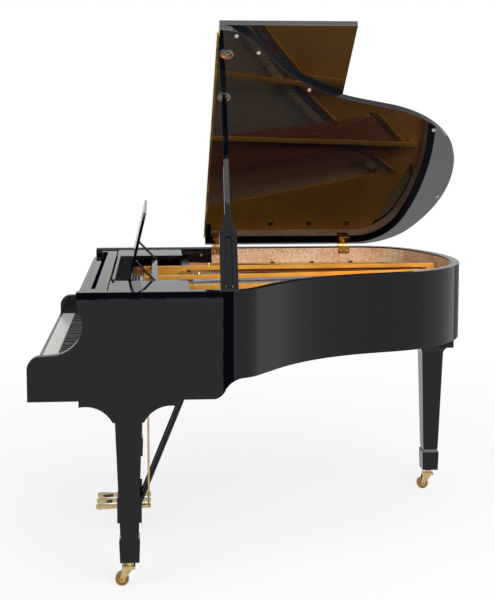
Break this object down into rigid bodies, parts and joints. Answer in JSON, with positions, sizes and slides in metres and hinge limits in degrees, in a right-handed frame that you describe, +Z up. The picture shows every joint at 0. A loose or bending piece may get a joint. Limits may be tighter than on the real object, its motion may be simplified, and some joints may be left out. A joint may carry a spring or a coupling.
{
  "type": "grand piano",
  "caption": "Grand piano with a black polished case, prop-held lid with folded front flap, music desk, keyboard and action, iron plate with strings, pedal lyre and three legs on casters.",
  "frame": {"origin": "on the floor under the middle of the case", "axes": "+X to the treble side, +Y to the tail, +Z up"},
  "size_m": [1.5259, 1.6474, 1.9063],
  "materials": {
    "black_lacquer": "mirror-polished black lacquer",
    "case_wood": "clear-coated beech",
    "rim_veneer": "figured veneer",
    "spruce": "varnished spruce",
    "bridge_maple": "varnished maple",
    "gold_iron": "gold bronze paint on cast iron",
    "pin_steel": "nickelled steel",
    "string_steel": "bright steel wire",
    "string_copper": "copper winding",
    "damper_felt": "black heads on white felt",
    "key_white": "polished white key tops",
    "key_black": "ebonised wood",
    "hammer_felt": "pressed wool felt",
    "brass": "polished brass",
    "bumper_rubber": "pale rubber",
    "cup_steel": "polished steel",
    "wheel_tread": "bronze tread"
  },
  "bodies": {
    "case": {"rim": "black_lacquer", "inner_rim": "case_wood", "rim_veneer": "rim_veneer", "side_panels": "black_lacquer", "keybed": "case_wood", "key_slip": "black_lacquer", "key_blocks": "black_lacquer", "belly_rail": "case_wood", "rim_braces": "case_wood", "soundboard": "spruce", "soundboard_ribs": "spruce", "bridges": "bridge_maple", "iron_plate": "gold_iron", "pin_block": "case_wood", "tuning_pins": "pin_steel", "plain_strings": "string_steel", "bass_strings": "string_copper", "leg_treble": "black_lacquer", "leg_bass": "black_lacquer", "leg_tail": "black_lacquer", "leg_brackets": "black_lacquer", "tail_leg_block": "black_lacquer", "lyre_box": "black_lacquer", "lyre_frame": "black_lacquer", "lyre_braces": "black_lacquer", "lid_hinge_case_leaves": "brass", "prop_bracket": "black_lacquer", "front_board": "black_lacquer"},
    "lid": {"lid": "black_lacquer", "lid_hinge_lid_leaves": "brass", "fold_hinge_lid_leaf": "brass", "lid_bumpers": "bumper_rubber", "prop_cups": "cup_steel"},
    "lid_flap": {"lid_flap": "black_lacquer", "fold_hinge_flap_leaf": "brass"},
    "lid_prop": {"lid_prop": "black_lacquer"},
    "half_prop": {"half_prop": "black_lacquer"},
    "desk_frame": {"desk_frame": "black_lacquer"},
    "music_desk": {"music_desk": "black_lacquer"},
    "desk_struts": {"desk_struts": "black_lacquer"},
    "fallboard": {"fallboard": "black_lacquer"},
    "dampers": {"dampers": "damper_felt"},
    "action": {"key_frame": "case_wood", "action_frame": "case_wood"},
    "natural_keys": {"natural_keys": "key_white"},
    "sharp_keys": {"sharp_keys": "key_black"},
    "natural_hammers": {"natural_hammers": "hammer_felt"},
    "sharp_hammers": {"sharp_hammers": "hammer_felt"},
    "pedal_left": {"pedal_left": "brass"},
    "pedal_rod_left": {"pedal_rod_left": "brass"},
    "pedal_middle": {"pedal_middle": "brass"},
    "pedal_rod_middle": {"pedal_rod_middle": "brass"},
    "pedal_right": {"pedal_right": "brass"},
    "pedal_rod_right": {"pedal_rod_right": "brass"},
    "caster_treble": {"caster_fork_treble": "brass"},
    "wheel_treble": {"caster_wheel_treble": "wheel_tread"},
    "caster_bass": {"caster_fork_bass": "brass"},
    "wheel_bass": {"caster_wheel_bass": "wheel_tread"},
    "caster_tail": {"caster_fork_tail": "brass"},
    "wheel_tail": {"caster_wheel_tail": "wheel_tread"}
  },
  "joints": [
    {"name": "lid_hinge", "type": "hinge", "parent": "case", "child": "lid", "pos_m": [-0.757, -0.82168, 1.0125], "axis": [0, -1, 0], "range_deg": [0, 25]},
    {"name": "flap_fold", "type": "hinge", "parent": "lid", "child": "lid_flap", "pos_m": [-0.14695, -0.18168, 1.46129], "axis": [0.8231, 0, 0.5678], "range_deg": [0, 180]},
    {"name": "prop_fold", "type": "hinge", "parent": "case", "child": "lid_prop", "pos_m": [0.692, -0.15768, 0.978], "axis": [-0.6237, -0.6237, -0.4712], "range_deg": [0, 50]},
    {"name": "half_prop_swing", "type": "hinge", "parent": "lid_prop", "child": "half_prop", "pos_m": [0.65893, -0.15685, 1.02068], "axis": [0.0093, 0.9999, -0.0121], "range_deg": [0, 38]},
    {"name": "desk_slide", "type": "slide", "parent": "case", "child": "desk_frame", "axis": [0, 1, 0], "range_m": [-0.004, 0.085]},
    {"name": "desk_tilt", "type": "hinge", "parent": "desk_frame", "child": "music_desk", "pos_m": [0, -0.48868, 1.006], "axis": [-1, 0, 0], "range_deg": [0, 76.4]},
    {"name": "desk_strut_fold", "type": "hinge", "parent": "music_desk", "child": "desk_struts", "pos_m": [0, -0.46879, 1.06909], "axis": [1, 0, 0], "range_deg": [0, 122.77]},
    {"name": "fallboard_hinge", "type": "hinge", "parent": "case", "child": "fallboard", "pos_m": [0, -0.61668, 0.792], "axis": [1, 0, 0], "range_deg": [0, 90]},
    {"name": "pedal_left_press", "type": "hinge", "parent": "case", "child": "pedal_left", "pos_m": [-0.075, -0.52168, 0.085], "axis": [1, 0, 0], "range_deg": [0, 8], "stiffness_Nm_per_rad": 25, "springref_deg": -8},
    {"name": "pedal_rod_left_lift", "type": "slide", "parent": "case", "child": "pedal_rod_left", "axis": [0, 0, 1], "range_m": [0, 0.0128]},
    {"name": "pedal_middle_press", "type": "hinge", "parent": "case", "child": "pedal_middle", "pos_m": [0, -0.52168, 0.085], "axis": [1, 0, 0], "range_deg": [0, 8], "stiffness_Nm_per_rad": 25, "springref_deg": -8},
    {"name": "pedal_rod_middle_lift", "type": "slide", "parent": "case", "child": "pedal_rod_middle", "axis": [0, 0, 1], "range_m": [0, 0.0128]},
    {"name": "pedal_right_press", "type": "hinge", "parent": "case", "child": "pedal_right", "pos_m": [0.075, -0.52168, 0.085], "axis": [1, 0, 0], "range_deg": [0, 8], "stiffness_Nm_per_rad": 25, "springref_deg": -8},
    {"name": "pedal_rod_right_lift", "type": "slide", "parent": "case", "child": "pedal_rod_right", "axis": [0, 0, 1], "range_m": [0, 0.0128]},
    {"name": "damper_lift", "type": "slide", "parent": "case", "child": "dampers", "axis": [0, 0, 1], "range_m": [0, 0.005]},
    {"name": "action_shift", "type": "slide", "parent": "case", "child": "action", "axis": [1, 0, 0], "range_m": [0, 0.0025]},
    {"name": "natural_key_dip", "type": "hinge", "parent": "action", "child": "natural_keys", "pos_m": [0, -0.56568, 0.7147], "axis": [1, 0, 0], "range_deg": [0, 2.41], "stiffness_Nm_per_rad": 60, "springref_deg": -6.88},
    {"name": "natural_hammer_blow", "type": "hinge", "parent": "action", "child": "natural_hammers", "pos_m": [0, -0.46668, 0.857], "axis": [1, 0, 0], "range_deg": [0, 18.5]},
    {"name": "sharp_key_dip", "type": "hinge", "parent": "action", "child": "sharp_keys", "pos_m": [0, -0.56568, 0.7147], "axis": [1, 0, 0], "range_deg": [0, 2.41], "stiffness_Nm_per_rad": 60, "springref_deg": -6.88},
    {"name": "sharp_hammer_blow", "type": "hinge", "parent": "action", "child": "sharp_hammers", "pos_m": [0, -0.46668, 0.857], "axis": [1, 0, 0], "range_deg": [0, 18.5]},
    {"name": "caster_swivel_treble", "type": "hinge", "parent": "case", "child": "caster_treble", "pos_m": [0.668, -0.49568, 0.068], "axis": [0, 0, 1], "continuous": true},
    {"name": "wheel_spin_treble", "type": "hinge", "parent": "caster_treble", "child": "wheel_treble", "pos_m": [0.668, -0.52268, 0.023], "axis": [1, 0, 0], "continuous": true},
    {"name": "caster_swivel_bass", "type": "hinge", "parent": "case", "child": "caster_bass", "pos_m": [-0.668, -0.49568, 0.068], "axis": [0, 0, 1], "continuous": true},
    {"name": "wheel_spin_bass", "type": "hinge", "parent": "caster_bass", "child": "wheel_bass", "pos_m": [-0.668, -0.52268, 0.023], "axis": [1, 0, 0], "continuous": true},
    {"name": "caster_swivel_tail", "type": "hinge", "parent": "case", "child": "caster_tail", "pos_m": [-0.352, 0.76368, 0.068], "axis": [0, 0, 1], "continuous": true},
    {"name": "wheel_spin_tail", "type": "hinge", "parent": "caster_tail", "child": "wheel_tail", "pos_m": [-0.352, 0.73668, 0.023], "axis": [1, 0, 0], "continuous": true}
  ],
  "couplings": [
    {"joint": "desk_strut_fold", "follows": "desk_tilt", "ratio": 1.6069},
    {"joint": "pedal_rod_left_lift", "follows": "pedal_left_press", "m_per_rad": 0.091701},
    {"joint": "pedal_rod_middle_lift", "follows": "pedal_middle_press", "m_per_rad": 0.091701},
    {"joint": "pedal_rod_right_lift", "follows": "pedal_right_press", "m_per_rad": 0.091701},
    {"joint": "damper_lift", "follows": "pedal_right_press", "m_per_rad": 0.03581},
    {"joint": "action_shift", "follows": "pedal_left_press", "m_per_rad": 0.017905},
    {"joint": "natural_hammer_blow", "follows": "natural_key_dip", "ratio": 7.6827},
    {"joint": "sharp_hammer_blow", "follows": "sharp_key_dip", "ratio": 7.6827}
  ]
}
